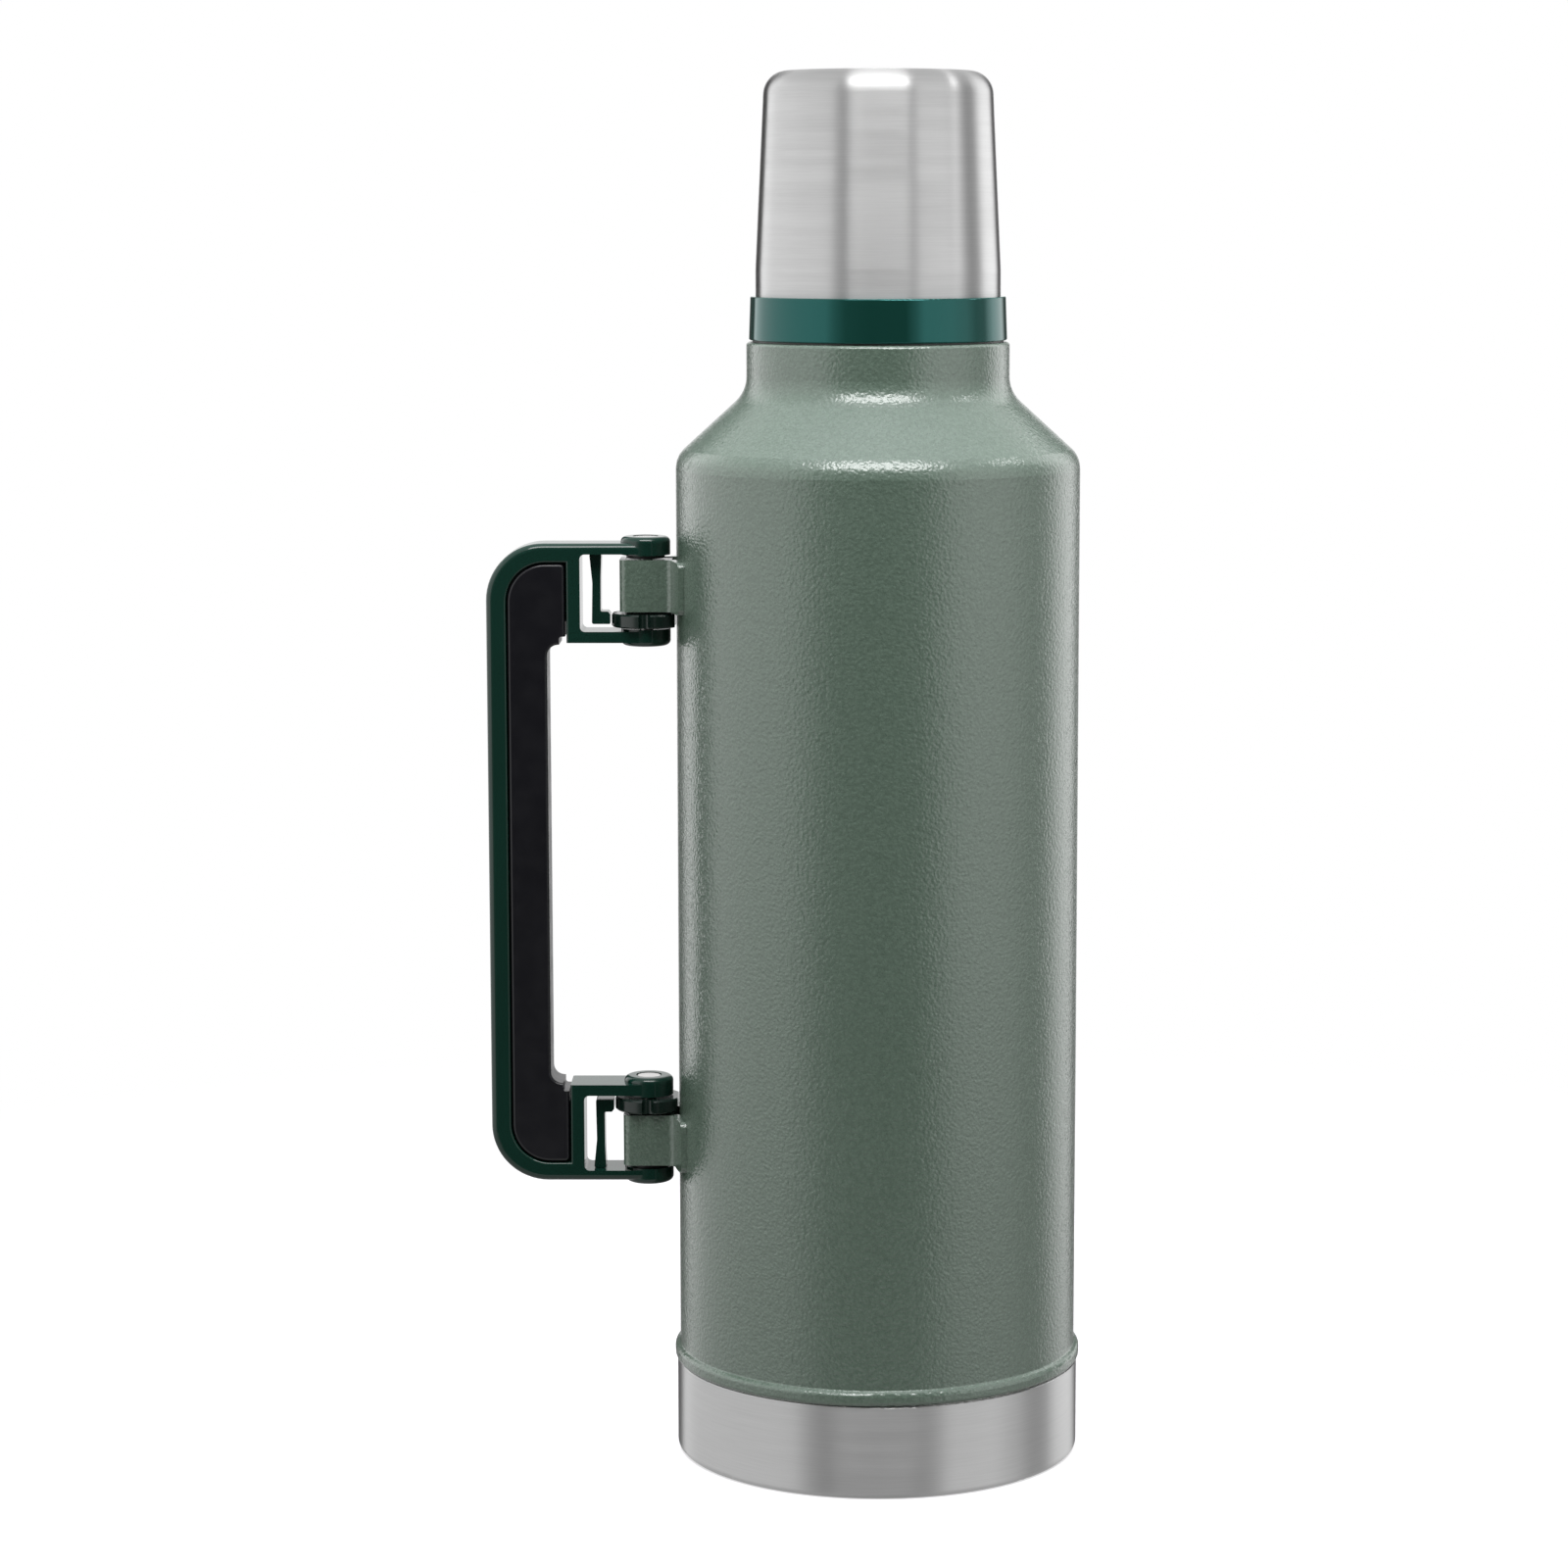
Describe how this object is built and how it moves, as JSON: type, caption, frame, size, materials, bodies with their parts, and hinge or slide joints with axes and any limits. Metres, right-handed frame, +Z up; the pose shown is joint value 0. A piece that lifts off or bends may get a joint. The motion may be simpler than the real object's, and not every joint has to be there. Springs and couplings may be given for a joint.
{
  "type": "vacuum flask",
  "caption": "Tall steel vacuum flask with a screw-on drinking cup, a screw stopper, a flat steel foot and a side handle that folds round against the body.",
  "frame": {"origin": "centre of the flat underside of the foot, on the flask's axis", "axes": "+Z up along the flask's axis; -X towards the handle as drawn open; -Y is the front in the picture"},
  "size_m": [0.1615, 0.1116, 0.376],
  "materials": {
    "hammertone_paint": "sage-green hammertone, semi-gloss",
    "brushed_shell": "brushed round the axis",
    "liner_steel": "satin",
    "collar_plastic": "glossy dark teal-green",
    "handle_plastic": "semi-gloss dark green",
    "grip_rubber": "matte black",
    "detent_plastic": "very dark green",
    "rivet_steel": "bright",
    "washer_plastic": "black",
    "stopper_plastic": "dark green",
    "silicone": "translucent grey",
    "foam": "cream insulating foam",
    "getter_metal": "grey pellet"
  },
  "bodies": {
    "flask": {"outer_shell": "hammertone_paint", "inner_liner": "liner_steel", "outer_bottom": "liner_steel", "vacuum_seal": "getter_metal", "getter": "getter_metal", "base_cup": "brushed_shell", "upper_bracket": "hammertone_paint", "lower_bracket": "hammertone_paint", "upper_detent": "detent_plastic", "lower_detent": "detent_plastic"},
    "handle": {"handle_frame": "handle_plastic", "grip_pad": "grip_rubber", "upper_pin": "rivet_steel", "lower_pin": "rivet_steel", "upper_washer": "washer_plastic", "lower_washer": "washer_plastic"},
    "latch_top": {"upper_latch": "handle_plastic"},
    "latch_bottom": {"lower_latch": "handle_plastic"},
    "cup_carrier": {"cup_gasket": "silicone"},
    "cup": {"cup_shell": "brushed_shell", "cup_liner": "liner_steel", "cup_collar": "collar_plastic"},
    "stopper_carrier": {"stopper_rim_gasket": "silicone"},
    "stopper": {"stopper_body": "stopper_plastic", "stopper_knob": "stopper_plastic", "stopper_core": "foam", "stopper_lower_seal": "silicone"}
  },
  "joints": [
    {"name": "handle_fold", "type": "hinge", "parent": "flask", "child": "handle", "pos_m": [-0.0628, 0, 0.1628], "axis": [0, 0, 1], "range_deg": [-90, 90]},
    {"name": "latch_top_flex", "type": "hinge", "parent": "handle", "child": "latch_top", "pos_m": [-0.0762, 0, 0.2468], "axis": [0, 1, 0], "range_deg": [0, 4], "stiffness_Nm_per_rad": 2},
    {"name": "latch_bottom_flex", "type": "hinge", "parent": "handle", "child": "latch_bottom", "pos_m": [-0.0762, 0, 0.0788], "axis": [0, -1, 0], "range_deg": [0, 4], "stiffness_Nm_per_rad": 2},
    {"name": "cup_rise", "type": "slide", "parent": "flask", "child": "cup_carrier", "axis": [0, 0, 1], "range_m": [0, 0.0752]},
    {"name": "cup_turn", "type": "hinge", "parent": "cup_carrier", "child": "cup", "pos_m": [0, 0, 0.31], "axis": [0, 0, 1], "range_deg": [0, 3375]},
    {"name": "stopper_rise", "type": "slide", "parent": "flask", "child": "stopper_carrier", "axis": [0, 0, 1], "range_m": [0, 0.0302]},
    {"name": "stopper_turn", "type": "hinge", "parent": "stopper_carrier", "child": "stopper", "pos_m": [0, 0, 0.31], "axis": [0, 0, 1], "range_deg": [0, 1350]}
  ],
  "couplings": [
    {"joint": "cup_rise", "follows": "cup_turn", "m_per_rad": 0.0012732},
    {"joint": "stopper_rise", "follows": "stopper_turn", "m_per_rad": 0.0012732}
  ]
}
